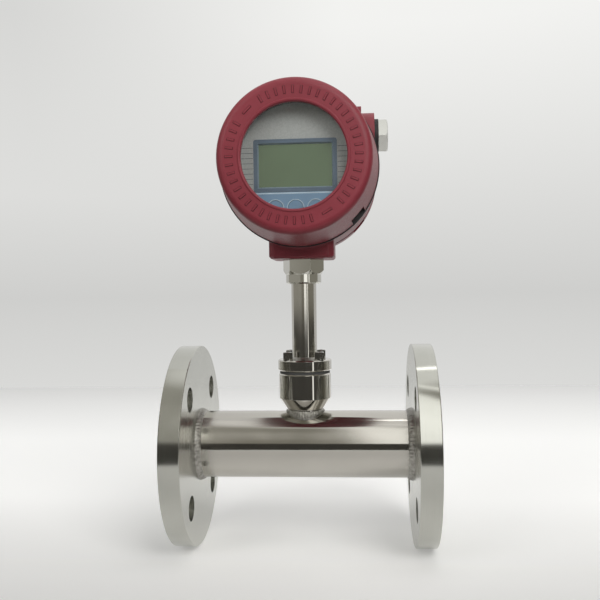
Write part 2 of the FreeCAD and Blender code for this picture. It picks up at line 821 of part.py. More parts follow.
def front_cover():
    """A tapered screw cover: its thread runs over the spigot, and the window sits behind its bead."""
    face = FRONT_FACE_Y + WINDOW_BEAD_H
    bead = WINDOW_R + WINDOW_BEAD_W
    pocket = GLASS_R + GLASS_PLAY
    seat = RETAINER_R + GLASS_PLAY
    thread_end = -BARREL_FRONT - SPIGOT_L - FRONT_COVER_RELIEF
    body = around_head([
        (THREAD_R, FRONT_EDGE_Y),
        (COVER_R, FRONT_EDGE_Y),
        (COVER_R - FRONT_COVER_TAPER, face, COVER_CORNER),
        (bead, face),
        (bead - WINDOW_BEAD_H, FRONT_FACE_Y),
        (WINDOW_R, FRONT_FACE_Y, WINDOW_EDGE),
        (WINDOW_R, LIP_Y),
        (pocket, LIP_Y),
        (pocket, RETAINER_Y),
        (seat, RETAINER_Y),
        (seat, RETAINER_BACK_Y),
        (CHAMBER_R, RETAINER_BACK_Y, INNER_CORNER),
        (CHAMBER_R, thread_end),
        (THREAD_R, thread_end),
    ])
    return whole(body.cut(notches(FRONT_EDGE_Y, -1)))


def window_gasket():
    outer = GLASS_R
    return around_head(ring(outer - WINDOW_GASKET_W, outer, LIP_Y, GLASS_Y))


def window_glass():
    return around_head(ring(0, GLASS_R, GLASS_Y, RETAINER_Y))


def window_retainer():
    body = around_head(ring(RETAINER_BORE_R, RETAINER_R, RETAINER_Y, RETAINER_BACK_Y))
    depth = RETAINER_T / 2
    slots = []
    for i in range(RETAINER_SLOT_COUNT // 2):
        bar = head_plate(rectangle(4 * RETAINER_R, RETAINER_SLOT_W), RETAINER_BACK_Y - depth, RETAINER_BACK_Y)
        slots.append(bar.rotated(V(NECK_X, 0, HEAD_Z), V(0, 1, 0), 360.0 * i / RETAINER_SLOT_COUNT))
    return whole(body.cut(slots))


def cover_seal(outer, start, end):
    return around_head(ring(THREAD_R, outer, start, end))


def rear_cover():
    floor = REAR_FACE_Y - REAR_COVER_FLOOR
    body = around_head([
        (THREAD_R, REAR_EDGE_Y),
        (COVER_R, REAR_EDGE_Y),
        (COVER_R, REAR_FACE_Y, COVER_CORNER),
        (0, REAR_FACE_Y),
        (0, floor),
        (THREAD_R, floor, INNER_CORNER),
    ])
    return whole(body.cut(notches(REAR_EDGE_Y, 1)))


# Cable plugs

def plug_seal(side):
    inner = ENTRY_THREAD_D / 2
    return around_entry(ring(inner, PLUG_SEAL_D / 2, ENTRY_REACH, ENTRY_REACH + PLUG_SEAL_T), side)


def cable_plug(side, head):
    """A hexagon plug with a corner towards the front and a little down, chamfered at its outer end."""
    base = ENTRY_REACH + PLUG_SEAL_T
    end = base + head
    corner = PLUG_AF / math.sqrt(3)
    shank_r = ENTRY_THREAD_D / 2 - THREAD_PLAY
    blank = prism(
        hexagon(PLUG_AF, PLUG_TURN), lambda u, v: V(NECK_X + side * base, u, ENTRY_Z + v), V(side * head, 0, 0))
    chamfer = around_entry([
        (0, base),
        (corner, base),
        (corner, end - PLUG_EDGE),
        (corner - 2 * PLUG_EDGE, end),
        (0, end),
    ], side)
    shank = around_entry(ring(0, shank_r, ENTRY_REACH - PLUG_SHANK, base), side)
    return whole(blank.common(chamfer).fuse(shank))


# Display stack

def frame_size():
    return LCD_W + 2 * FRAME_BAND, LCD_H + 2 * FRAME_BAND


def key_places():
    return [(i * KEY_PITCH, -KEY_DROP) for i in (-1, 0, 1)]


def countersunk(u, v, play=0.0):
    """A screw with its head flush in the plate, down through the display board into the standoff."""
    return around_head([
        (0, PLATE_FRONT_Y),
        (SCREW_HEAD_D / 2 + play, PLATE_FRONT_Y),
        (SCREW_D / 2 + play, PLATE_FRONT_Y + SCREW_HEAD_H),
        (SCREW_D / 2 + play, BOARD_BACK_Y + SCREW_GRIP),
        (0, BOARD_BACK_Y + SCREW_GRIP),
    ], u, v)


def display_plate():
    width, height = frame_size()
    disc = head_rod(BOARD_R, PLATE_FRONT_Y, PLATE_BACK_Y)
    gap = rectangle(width + 2 * FRAME_PLAY, height + 2 * FRAME_PLAY, FRAME_CORNER)
    cuts = [head_plate(gap, PLATE_FRONT_Y, PLATE_BACK_Y, -LCD_DROP)]
    for u, v in key_places():
        cuts.append(head_rod(KEY_D / 2 + KEY_PLAY, PLATE_FRONT_Y, PLATE_BACK_Y, u, v))
    cuts += [countersunk(u, v, SCREW_PLAY) for u, v in stack_places()]
    return whole(disc.cut(cuts))


def lcd_frame():
    width, height = frame_size()
    front = PLATE_FRONT_Y - FRAME_PROUD
    body = head_plate(rectangle(width, height, FRAME_CORNER), front, LCD_Y, -LCD_DROP)
    return whole(body.cut(head_plate(rectangle(LCD_W, LCD_H), front, LCD_Y, -LCD_DROP)))


def lcd_panel():
    width, height = frame_size()
    return head_plate(rectangle(width, height, FRAME_CORNER), LCD_Y, BOARD_Y, -LCD_DROP)


def display_board():
    disc = head_rod(BOARD_R, BOARD_Y, BOARD_BACK_Y)
    return whole(disc.cut(stack_holes(BOARD_Y, BOARD_BACK_Y)))


def display_spacer(u, v):
    post = head_rod(SPACER_D / 2, PLATE_BACK_Y, BOARD_Y, u, v)
    return post.cut(head_rod(SCREW_D / 2 + SCREW_PLAY, PLATE_BACK_Y, BOARD_Y, u, v))


def key(u, v):
    """A round cap through the plate, a flange that stops behind it, and a stem into its switch."""
    cap = head_rod(KEY_D / 2, PLATE_FRONT_Y - KEY_PROUD, PLATE_BACK_Y, u, v)
    flange_back = PLATE_BACK_Y + KEY_FLANGE_T
    rim = head_rod(KEY_D / 2 + KEY_FLANGE, PLATE_BACK_Y, flange_back, u, v)
    stem = head_rod(KEY_STEM_D / 2, flange_back, key_stem_end(), u, v)
    return whole(cap.fuse([rim, stem]))


def key_stem_end():
    """The stem stops short of the switch's floor by the key's travel and its play."""
    return BOARD_Y - KEY_TRAVEL - KEY_PLAY


def key_switch(u, v):
    body = head_plate(rectangle(SWITCH_W, SWITCH_W), BOARD_Y - SWITCH_H, BOARD_Y, v).translated(V(u, 0, 0))
    return body.cut(head_rod(KEY_STEM_D / 2 + KEY_PLAY, BOARD_Y - SWITCH_H, BOARD_Y, u, v))


def board_standoff(u, v):
    """A hexagon pillar: the plate's screw enters its front, its own stud holds the main board."""
    corners = [(u + a, v + b) for a, b in hexagon(STANDOFF_AF)]
    pillar = prism(corners, on_head(BOARD_BACK_Y), V(0, STANDOFF_L, 0))
    tap = head_rod(SCREW_D / 2 + SCREW_PLAY, BOARD_BACK_Y, BOARD_BACK_Y + SCREW_GRIP + SCREW_D, u, v)
    stud = head_rod(SCREW_D / 2, MAIN_Y, MAIN_BACK_Y + SCREW_GRIP, u, v)
    return whole(pillar.cut(tap).fuse(stud))


def main_board():
    disc = head_rod(BOARD_R, MAIN_Y, MAIN_BACK_Y)
    return whole(disc.cut(stack_holes(MAIN_Y, MAIN_BACK_Y)))


def processor():
    return head_plate(rectangle(PROCESSOR_W, PROCESSOR_W), MAIN_Y - PROCESSOR_T, MAIN_Y)


def capacitor(u):
    return head_rod(CAPACITOR_D / 2, MAIN_Y - CAPACITOR_L, MAIN_Y, u, -CAPACITOR_DROP)


def transformer():
    block = head_plate(rectangle(TRANSFORMER_W, TRANSFORMER_H), MAIN_Y - TRANSFORMER_T, MAIN_Y)
    return block.translated(V(TRANSFORMER_X, 0, 0))


def board_link():
    return head_plate(rectangle(LINK_W, LINK_H), BOARD_BACK_Y, MAIN_Y, LINK_RISE)


# Terminal side

def terminal_board():
    body = head_plate(rectangle(TERMINAL_BOARD_W, TERMINAL_BOARD_H), TERMINAL_BOARD_Y, TERMINAL_Y)
    return whole(body.cut(terminal_screw_holes(TERMINAL_BOARD_Y, TERMINAL_Y)))


def terminal_places():
    first = -TERMINAL_PITCH * (TERMINAL_COUNT - 1) / 2
    return [first + i * TERMINAL_PITCH for i in range(TERMINAL_COUNT)]


def terminal_block():
    """A row of screw clamps: a well for each screw at the back, and a wire way below it."""
    width = TERMINAL_COUNT * TERMINAL_PITCH
    back = TERMINAL_Y + TERMINAL_DEPTH
    body = head_plate(rectangle(width, TERMINAL_H), TERMINAL_Y, back)
    cuts = []
    for u in terminal_places():
        cuts.append(head_rod(TERMINAL_WELL_D / 2, back - TERMINAL_WELL_DEPTH, back, u, TERMINAL_WELL_RISE))
        way = Part.makeBox(
            TERMINAL_WAY, TERMINAL_WAY, TERMINAL_WAY_DEPTH,
            V(NECK_X + u - TERMINAL_WAY / 2, back - TERMINAL_DEPTH / 2 - TERMINAL_WAY / 2, HEAD_Z - TERMINAL_H / 2))
        cuts.append(way)
    return whole(body.cut(cuts))


def terminal_screw(u):
    floor = TERMINAL_Y + TERMINAL_DEPTH - TERMINAL_WELL_DEPTH
    radius = TERMINAL_WELL_D / 2 - CLAMP_SCREW_PLAY
    return head_rod(radius, floor, floor + CLAMP_SCREW_H, u, TERMINAL_WELL_RISE)


def terminal_board_screw(u, v):
    head = head_rod(TERMINAL_HEAD_D / 2, TERMINAL_Y, TERMINAL_Y + TERMINAL_HEAD_H, u, v)
    return whole(head.fuse(head_rod(SCREW_D / 2, PARTITION_BACK_Y + SCREW_PLAY, TERMINAL_Y, u, v)))


def earth_screw():
    seat = PARTITION_BACK_Y + EARTH_BOSS_H
    head = head_rod(EARTH_HEAD_D / 2, seat, seat + EARTH_HEAD_H, EARTH_X, -EARTH_DROP)
    shank = head_rod(EARTH_SCREW_D / 2, PARTITION_BACK_Y + SCREW_PLAY, seat, EARTH_X, -EARTH_DROP)
    return whole(head.fuse(shank))


# The nodes

def group(make, places):
    return Part.makeCompound([make(*place) for place in places])


nodes = {
    "inlet_flange": flange(0.0, 1),
    "outlet_flange": flange(FACE_TO_FACE, -1),
    "inlet_welds": flange_welds(0.0, 1),
    "outlet_welds": flange_welds(FACE_TO_FACE, -1),
    "flow_tube": flow_tube(),
    "sensor_socket": sensor_socket(),
    "socket_weld": socket_weld(),
    "sensor_gasket": sensor_gasket(),
    "sensor_plate": sensor_plate(),
    "plate_bolts": group(joint_bolt, joint_bolt_places()),
    "plate_washers": group(joint_washer, joint_bolt_places()),
    "probe_stem": probe_stem(),
    "probe_guard": probe_guard(),
    "heated_sensor": sensor_sheath(-SENSOR_PITCH / 2),
    "reference_sensor": sensor_sheath(SENSOR_PITCH / 2),
    "sensor_elements": group(sensor_element, [(-SENSOR_PITCH / 2,), (SENSOR_PITCH / 2,)]),
    "neck_tube": neck_tube(),
    "neck_weld": neck_weld(),
    "hex_coupling": hex_coupling(),
    "swivel_oring": swivel_oring(),
    "sensor_leads": sensor_leads(),
    "lead_connector": lead_connector(),
    "housing_body": housing_body(),
    "lock_screw": lock_screw(),
    "feedthrough": feedthrough(),
    "front_cover": front_cover(),
    "window_gasket": window_gasket(),
    "window_glass": window_glass(),
    "window_retainer": window_retainer(),
    "front_cover_seal": cover_seal(COVER_R + FRONT_SEAL_PROUD, FRONT_EDGE_Y, -BARREL_FRONT),
    "rear_cover": rear_cover(),
    "rear_cover_seal": cover_seal(COVER_R - REAR_SEAL_INSET, BARREL_REAR, REAR_EDGE_Y),
    "right_plug": cable_plug(1, PLUG_HEAD),
    "right_plug_seal": plug_seal(1),
    "left_plug": cable_plug(-1, LEFT_PLUG_HEAD),
    "left_plug_seal": plug_seal(-1),
    "display_plate": display_plate(),
    "lcd_frame": lcd_frame(),
    "lcd_panel": lcd_panel(),
    "display_board": display_board(),
    "display_spacers": group(display_spacer, stack_places()),
    "display_screws": group(countersunk, stack_places()),
    "key_switches": group(key_switch, key_places()),
    "board_standoffs": group(board_standoff, stack_places()),
    "main_board": main_board(),
    "board_link": board_link(),
    "processor": processor(),
    "capacitors": group(capacitor, [(-CAPACITOR_PITCH / 2,), (CAPACITOR_PITCH / 2,)]),
    "transformer": transformer(),
    "terminal_board": terminal_board(),
    "terminal_board_screws": group(terminal_board_screw, terminal_screw_places()),
    "terminal_block": terminal_block(),
    "terminal_screws": group(terminal_screw, [(u,) for u in terminal_places()]),
    "earth_screw": earth_screw(),
}
for name, place in zip(("key_left", "key_centre", "key_right"), key_places()):
    nodes[name] = key(*place)

os.makedirs("parts", exist_ok=True)
for name, shape in nodes.items():
    shape.exportStep(f"parts/{name}.step")
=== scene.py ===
import math

import bpy
from mathutils import Matrix, Vector

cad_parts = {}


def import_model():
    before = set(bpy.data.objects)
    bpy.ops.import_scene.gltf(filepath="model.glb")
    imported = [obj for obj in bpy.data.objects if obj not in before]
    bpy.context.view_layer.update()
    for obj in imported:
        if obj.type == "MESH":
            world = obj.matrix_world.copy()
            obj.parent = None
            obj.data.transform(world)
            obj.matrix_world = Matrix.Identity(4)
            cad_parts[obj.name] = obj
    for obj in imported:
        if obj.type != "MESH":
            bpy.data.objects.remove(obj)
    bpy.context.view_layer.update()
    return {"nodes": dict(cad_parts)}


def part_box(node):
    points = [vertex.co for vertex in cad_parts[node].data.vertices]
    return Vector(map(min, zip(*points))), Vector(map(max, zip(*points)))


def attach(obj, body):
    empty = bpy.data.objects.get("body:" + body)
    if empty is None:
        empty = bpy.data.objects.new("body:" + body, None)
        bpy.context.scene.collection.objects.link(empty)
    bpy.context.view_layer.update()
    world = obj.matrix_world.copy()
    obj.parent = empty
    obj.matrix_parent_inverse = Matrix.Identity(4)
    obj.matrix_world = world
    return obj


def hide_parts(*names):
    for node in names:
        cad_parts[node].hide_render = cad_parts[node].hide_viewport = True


# Looks for a flanged thermal mass flow meter: a red cast head on a bright steel neck and tube.
# Metres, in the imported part's own frame. Sizes in millimetres are multiplied by MM.

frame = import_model()
nodes = frame["nodes"]
MM = 0.001


def middle(node):
    low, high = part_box(node)
    return (low + high) / 2


# Places read from the frame
NECK_X = middle("neck_tube").x
HEAD_Z = middle("front_cover").z
ENTRY_Z = middle("right_plug").z
FLOOR_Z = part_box("inlet_flange")[0].z
COVER_FACE_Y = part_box("front_cover")[0].y + 0.5 * MM
PLATE_FRONT_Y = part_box("display_plate")[0].y
LCD_CENTRE_Z = middle("lcd_frame").z
FRAME_LOW, FRAME_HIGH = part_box("lcd_frame")
TUBE_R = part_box("flow_tube")[1].z
BARREL_FRONT_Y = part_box("front_cover_seal")[1].y
BARREL_REAR_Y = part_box("rear_cover_seal")[0].y

# The camera, fitted to the photograph
IMAGE_PX = 600.0
FOCAL_PX = 740.32
SENSOR_MM = 36.0
CAMERA_FROM_NECK = Vector((40.164, -560.585, 113.184)) * MM
CAMERA_YAW = math.radians(4.4037)
CAMERA_PITCH = math.radians(-0.4046)
CAMERA_ROLL = math.radians(-0.8189)


# Shader helpers

class Nodes:
    """Short calls for the nodes of one node tree."""

    def __init__(self, tree):
        self.tree = tree

    def node(self, kind, **settings):
        made = self.tree.nodes.new("ShaderNode" + kind)
        for key, value in settings.items():
            setattr(made, key, value)
        return made

    def feed(self, socket, value):
        if isinstance(value, bpy.types.NodeSocket):
            self.tree.links.new(value, socket)
        else:
            socket.default_value = value

    def math(self, operation, *values):
        made = self.node("Math", operation=operation)
        for socket, value in zip(made.inputs, values):
            self.feed(socket, value)
        return made.outputs[0]

    def spread(self, value, low, high, to_low, to_high, smooth=False):
        made = self.node("MapRange", clamp=True)
        if smooth:
            made.interpolation_type = "SMOOTHSTEP"
        for socket, number in zip(made.inputs, (value, low, high, to_low, to_high)):
            self.feed(socket, number)
        return made.outputs[0]

    def mix(self, factor, one, other):
        made = self.node("Mix", data_type="RGBA")
        self.feed(made.inputs[0], factor)
        for socket, colour in ((made.inputs[6], one), (made.inputs[7], other)):
            self.feed(socket, (*colour, 1.0) if isinstance(colour, tuple) else colour)
        return made.outputs[2]

    def ramp(self, value, stops, tint=(1.0, 1.0, 1.0)):
        """A tinted level that changes along a value, from (place, level) stops in rising order."""
        low, high = stops[0][0], stops[-1][0]
        made = self.node("ValToRGB")
        self.feed(made.inputs[0], self.spread(value, low, high, 0.0, 1.0))
        elements = made.color_ramp.elements
        elements.remove(elements[1])
        for i, (at, level) in enumerate(stops):
            share = (at - low) / (high - low)
            element = elements[0] if i == 0 else elements.new(share)
            element.position = share
            element.color = (*(level * t for t in tint), 1.0)
        return made.outputs[0]

    def shown(self):
        """1 for what is seen, straight or in a mirror or glass, and 0 for scattered light."""
        path = self.node("LightPath")
        level = path.outputs["Is Camera Ray"]
        for name in ("Is Glossy Ray", "Is Transmission Ray"):
            level = self.math("MAXIMUM", level, path.outputs[name])
        return level


LOOKS = {}


class Look(Nodes):
    """A material around one Principled shader, kept by name in LOOKS."""

    def __init__(self, name, colour, roughness, metallic=0.0):
        self.material = bpy.data.materials.new("look_" + name)
        self.material.use_nodes = True
        LOOKS[name] = self.material
        super().__init__(self.material.node_tree)
        self.shader = self.tree.nodes["Principled BSDF"]
        self.shader.inputs["Base Color"].default_value = (*colour, 1.0)
        self.shader.inputs["Roughness"].default_value = roughness
        self.shader.inputs["Metallic"].default_value = metallic
        self.normal = None
        self._place = None

    def place(self):
        """The point on the surface in the part's frame, as three sockets."""
        if self._place is None:
            coords = self.node("TexCoord")
            split = self.node("SeparateXYZ")
            self.tree.links.new(coords.outputs["Object"], split.inputs[0])
            self._place = (coords.outputs["Object"], split.outputs[0], split.outputs[1], split.outputs[2])
        return self._place

    def noise(self, scale, detail=2.0, along=None):
        """Noise in space, or along one value only."""
        made = self.node("TexNoise", noise_dimensions="3D" if along is None else "1D")
        made.inputs["Scale"].default_value = scale
        made.inputs["Detail"].default_value = detail
        if along is None:
            self.feed(made.inputs["Vector"], self.place()[0])
        else:
            self.feed(made.inputs["W"], along)
        return made.outputs[0]

    def from_axis(self, axis, centre):
        """Distance from a line along X, Y or Z through centre, and the distance along it."""
        sockets = self.place()[1:]
        along = sockets["XYZ".index(axis)]
        squares = []
        for socket, letter, middle_value in zip(sockets, "XYZ", centre):
            if letter != axis:
                off = self.math("SUBTRACT", socket, middle_value)
                squares.append(self.math("MULTIPLY", off, off))
        return self.math("SQRT", self.math("ADD", *squares)), along

    def bump(self, height, distance, strength=1.0):
        made = self.node("Bump")
        made.inputs["Strength"].default_value = strength
        made.inputs["Distance"].default_value = distance
        self.feed(made.inputs["Height"], height)
        if self.normal is not None:
            self.feed(made.inputs["Normal"], self.normal)
        self.normal = made.outputs[0]
        self.feed(self.shader.inputs["Normal"], self.normal)

    def round_edges(self, radius):
        """Softens the light on sharp edges, as a broken edge does."""
        made = self.node("Bevel", samples=4)
        made.inputs["Radius"].default_value = radius
        self.normal = made.outputs[0]
        self.feed(self.shader.inputs["Normal"], self.normal)

    def set(self, socket, value):
        self.feed(self.shader.inputs[socket], value)


AXES = {
    "tube": ("X", (0.0, 0.0, 0.0)),
    "neck": ("Z", (NECK_X, 0.0, 0.0)),
    "head": ("Y", (NECK_X, 0.0, HEAD_Z)),
    "entry": ("X", (NECK_X, 0.0, ENTRY_Z)),
}


# Metals

def turned(name, colour, roughness, about, grain=6000.0, depth=0.004, anisotropic=0.0, edge=0.25, marks=0.5):
    """Steel polished on a lathe: fine marks round one of the part's axes spread reflections along it."""
    look = Look(name, colour, roughness, 1.0)
    if edge:
        look.round_edges(edge * MM)
    axis, centre = AXES[about]
    radius, along = look.from_axis(axis, centre)
    run = look.math("ADD", radius, along)
    rings = look.noise(grain, 3.0, run)
    smudge = look.noise(38.0, 3.0)
    uneven = look.math("ADD", look.math("MULTIPLY", rings, marks), smudge)
    middle_level = 0.5 + marks / 2.0
    look.set("Roughness", look.spread(
        uneven, middle_level - 0.3, middle_level + 0.3, roughness * 0.75, roughness * 1.3))
    tint = look.spread(uneven, middle_level - 0.2, middle_level + 0.2, 0.0, 1.0)
    darker = tuple(c * 0.95 for c in colour)
    look.set("Base Color", look.mix(tint, darker, colour))
    if depth:
        look.bump(rings, depth * MM)
    if anisotropic:
        look.shader.inputs["Anisotropic"].default_value = anisotropic
        look.shader.inputs["Anisotropic Rotation"].default_value = 0.25
        tangent = look.node("Tangent", direction_type="RADIAL", axis=axis)
        look.set("Tangent", tangent.outputs[0])
    return look.material


FLANGE_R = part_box("inlet_flange")[1].z


def flange_metal(name):
    """Turned plate: a bright rim, and faces with finer feed marks."""
    look = Look(name, (0.62, 0.62, 0.58), 0.2, 1.0)
    look.round_edges(0.3 * MM)
    radius, along = look.from_axis("X", (0.0, 0.0, 0.0))
    rim = look.math("GREATER_THAN", radius, FLANGE_R - 0.05 * MM)
    feed = look.noise(2400.0, 3.0, look.math("ADD", radius, along))
    smudge = look.noise(30.0, 3.0)
    uneven = look.math("ADD", look.math("MULTIPLY", feed, 0.5), smudge)
    tint = look.spread(uneven, 0.55, 0.95, 0.0, 1.0)
    look.set("Base Color", look.mix(tint, (0.51, 0.51, 0.47), (0.58, 0.58, 0.54)))
    on_face = look.spread(uneven, 0.45, 1.05, 0.20, 0.30)
    on_rim = look.spread(uneven, 0.45, 1.05, 0.10, 0.17)
    look.set("Roughness", look.math("ADD", look.math("MULTIPLY", rim, on_rim),
             look.math("MULTIPLY", look.math("SUBTRACT", 1.0, rim), on_face)))
    look.bump(feed, 0.001 * MM)
    return look.material


def weld_metal(name):
    """Weld bead as laid: grey, with dark scale in places and a few bright spots."""
    look = Look(name, (0.24, 0.23, 0.20), 0.25, 1.0)
    scale = look.spread(look.noise(420.0, 3.0), 0.36, 0.64, 0.0, 1.0)
    look.set("Base Color", look.mix(scale, (0.24, 0.23, 0.21), (0.40, 0.39, 0.36)))
    look.set("Roughness", look.spread(look.noise(300.0, 2.0), 0.3, 0.7, 0.40, 0.28))
    look.bump(look.noise(900.0, 2.0), 0.05 * MM)
    return look.material


def plain_metal(name, colour, roughness):
    look = Look(name, colour, roughness, 1.0)
    look.set("Roughness", look.spread(look.noise(260.0, 3.0), 0.3, 0.7, roughness * 0.7, roughness * 1.3))
    look.bump(look.noise(2500.0, 2.0), 0.004 * MM)
    return look.material


# Coated casting

RED = (0.262, 0.034, 0.050)
RED_DEEP = (0.225, 0.026, 0.040)


def coat(look):
    """A fine textured powder coat: small soft grains, with slow changes of shade."""
    shade = look.spread(look.noise(22.0, 3.0), 0.35, 0.65, 0.0, 1.0)
    look.set("Base Color", look.mix(shade, RED_DEEP, RED))
    grain = look.noise(900.0, 3.0)
    look.set("Roughness", look.spread(grain, 0.3, 0.7, 0.34, 0.48))
    look.shader.inputs["Specular IOR Level"].default_value = 0.36
    look.bump(grain, 0.22 * MM, 0.7)


def red_coat(name):
    look = Look(name, RED, 0.42)
    look.round_edges(0.5 * MM)
    coat(look)
    return look.material


RIB_HEIGHT = 0.45 * MM
# Colour of the painted shade at the foot of the cast marks.
PAINTED_SHADE_RED = (0.045, 0.006, 0.009)


def mark_coat(name):
    """The red coat on the cast marks, with painted shade darkening it round their feet."""
    look = Look(name, RED, 0.42)
    coat(look)
    _, x, y, z = look.place()
    # Painted shade: the coat turns darker towards the foot of each mark's sloping sides.
    foot = look.spread(y, COVER_FACE_Y - RIB_HEIGHT, COVER_FACE_Y - 0.25 * RIB_HEIGHT, 0.0, 1.0)
    painted = look.shader.inputs["Base Color"].links[0].from_socket
    look.set("Base Color", look.mix(foot, painted, PAINTED_SHADE_RED))
    return look.material


THREAD_PITCH = 2.0 * MM
BARE_CASTING = (0.70, 0.70, 0.70)


def housing_coat(name):
    """The red coat, with bare machined threads on the two spigots."""
    look = Look(name, RED, 0.42)
    look.round_edges(0.5 * MM)
    coat(look)
    _, x, y, z = look.place()
    before = look.math("LESS_THAN", y, BARREL_FRONT_Y - 0.02 * MM)
    behind = look.math("GREATER_THAN", y, BARREL_REAR_Y + 0.02 * MM)
    bare = look.math("ADD", before, behind)
    painted = look.shader.inputs["Base Color"].links[0].from_socket
    look.set("Base Color", look.mix(bare, painted, BARE_CASTING))
    look.set("Metallic", bare)
    ridge = look.math("PINGPONG", y, THREAD_PITCH / 2.0)
    look.bump(look.math("MULTIPLY", ridge, bare), 1.0)
    return look.material


# Plastics, rubber, glass and boards

def moulded(name, colour, roughness, grain=900.0, depth=0.02):
    look = Look(name, colour, roughness)
    darker = tuple(c * 0.86 for c in colour)
    look.set("Base Color", look.mix(look.spread(look.noise(60.0, 3.0), 0.35, 0.65, 0.0, 1.0), darker, colour))
    fine = look.noise(grain, 2.0)
    look.set("Roughness", look.spread(fine, 0.3, 0.7, roughness * 0.85, min(1.0, roughness * 1.15)))
    look.bump(fine, depth * MM)
    return look.material


def clear_glass(name):
    """Toughened glass: each face mirrors 4% straight on and more at a slant, and is clear otherwise."""
    look = Look(name, (0.95, 0.97, 0.97), 0.03, 1.0)
    slant = look.node("LayerWeight")
    slant.inputs["Blend"].default_value = 0.5
    mirror = look.math("MULTIPLY", look.math("POWER", slant.outputs["Facing"], 5.0), 0.96)
    look.set("Alpha", look.math("ADD", mirror, 0.04))
    look.set("Roughness", look.spread(look.noise(45.0, 3.0), 0.35, 0.7, 0.02, 0.05))
    return look.material


BOARD_GREEN = (0.05, 0.28, 0.13)
BOARD_DARK = (0.02, 0.15, 0.07)


def circuit_board(name):
    """Solder resist over a grid of tracks."""
    look = Look(name, BOARD_GREEN, 0.35)
    _, x, y, z = look.place()
    tracks = look.math("ADD", look.noise(700.0, 0.0, x), look.noise(700.0, 0.0, z))
    look.set("Base Color", look.mix(look.spread(tracks, 0.98, 1.02, 0.0, 1.0), BOARD_DARK, BOARD_GREEN))
    look.bump(tracks, 0.03 * MM)
    return look.material


PLATE_SILVER = (0.43, 0.45, 0.44)
PLATE_GREY = (0.37, 0.39, 0.38)
PANEL_BLUE = (0.165, 0.285, 0.420)
PRINT_PALE = (0.52, 0.66, 0.76)
PRINT_DARK = (0.085, 0.100, 0.105)
PANEL_LINE_DROP = 0.9 * MM


def display_face(name):
    """Silver plate, printed blue below the display's frame."""
    look = Look(name, PLATE_SILVER, 0.42)
    _, x, y, z = look.place()
    speckle = look.spread(look.noise(900.0, 2.0), 0.35, 0.65, 0.0, 1.0)
    silver = look.mix(speckle, PLATE_GREY, PLATE_SILVER)
    below = look.math("LESS_THAN", z, FRAME_LOW.z)
    look.set("Base Color", look.mix(below, silver, PANEL_BLUE))
    look.set("Roughness", look.spread(look.noise(1800.0, 2.0), 0.3, 0.7, 0.34, 0.50))
    return look.material


LCD_OLIVE = (0.154, 0.216, 0.135)
LCD_OLIVE_DEEP = (0.138, 0.194, 0.120)


def display_glass(name):
    """A reflective display with no figures lit: olive green, faintly uneven."""
    look = Look(name, LCD_OLIVE, 0.22)
    patch = look.spread(look.noise(30.0, 2.0), 0.3, 0.7, 0.0, 1.0)
    look.set("Base Color", look.mix(patch, LCD_OLIVE_DEEP, LCD_OLIVE))
    look.set("Roughness", look.spread(look.noise(500.0, 2.0), 0.3, 0.7, 0.18, 0.26))
    return look.material


MATERIALS = {
    flange_metal("flange_steel"): ["inlet_flange", "outlet_flange"],
    turned("tube_steel", (0.55, 0.53, 0.49), 0.12, "tube", 1200.0, 0.0, 0.9, marks=0.1): ["flow_tube"],
    turned("neck_steel", (0.57, 0.55, 0.51), 0.10, "neck", 1500.0, 0.0, 0.9, marks=0.2): ["neck_tube"],
    turned("socket_steel", (0.62, 0.60, 0.56), 0.07, "neck", 1500.0, 0.0, 0.9, marks=0.2): [
        "sensor_socket", "sensor_plate"],
    turned("hex_steel", (0.62, 0.61, 0.57), 0.07, "neck", 1500.0, 0.0004, marks=0.2): ["hex_coupling"],
    turned("probe_steel", (0.66, 0.66, 0.65), 0.18, "neck"): [
        "probe_stem", "probe_guard", "heated_sensor", "reference_sensor"],
    turned("plug_steel", (0.62, 0.62, 0.59), 0.09, "entry", 1800.0, 0.001): ["right_plug", "left_plug"],
    turned("ring_aluminium", (0.62, 0.62, 0.63), 0.25, "head"): ["window_retainer"],
    weld_metal("weld_steel"): ["inlet_welds", "outlet_welds", "socket_weld", "neck_weld"],
    plain_metal("fastener_steel", (0.52, 0.51, 0.48), 0.13): [
        "plate_bolts", "plate_washers", "display_screws", "terminal_screws", "terminal_board_screws",
        "earth_screw", "lock_screw"],
    plain_metal("nickel_brass", (0.66, 0.63, 0.55), 0.28): ["display_spacers", "board_standoffs"],
    plain_metal("capacitor_can", (0.50, 0.51, 0.55), 0.35): ["capacitors"],
    housing_coat("housing_red"): ["housing_body"],
    red_coat("cover_red"): ["front_cover", "rear_cover"],
    moulded("seal_rubber", (0.016, 0.016, 0.017), 0.60): [
        "swivel_oring", "front_cover_seal", "rear_cover_seal", "right_plug_seal", "left_plug_seal",
        "window_gasket"],
    moulded("gasket_fibre", (0.06, 0.06, 0.06), 0.80, 1500.0, 0.06): ["sensor_gasket"],
    clear_glass("window_clear"): ["window_glass"],
    display_face("display_face"): ["display_plate"],
    moulded("frame_blue", (0.100, 0.150, 0.210), 0.38): ["lcd_frame"],
    display_glass("lcd_olive"): ["lcd_panel"],
    moulded("key_blue", PANEL_BLUE, 0.42): ["key_left", "key_centre", "key_right"],
    circuit_board("board_green"): ["display_board", "main_board", "terminal_board"],
    moulded("black_plastic", (0.02, 0.02, 0.02), 0.45): [
        "key_switches", "board_link", "processor", "transformer", "lead_connector"],
    moulded("potting_resin", (0.03, 0.03, 0.035), 0.30): ["feedthrough"],
    moulded("terminal_green", (0.05, 0.26, 0.11), 0.45): ["terminal_block"],
    moulded("lead_silicone", (0.40, 0.40, 0.37), 0.55): ["sensor_leads"],
    moulded("sensor_ceramic", (0.72, 0.70, 0.64), 0.30): ["sensor_elements"],
}
for material, names in MATERIALS.items():
    for name in names:
        mesh = nodes[name].data
        mesh.materials.clear()
        mesh.materials.append(material)


# Pieces

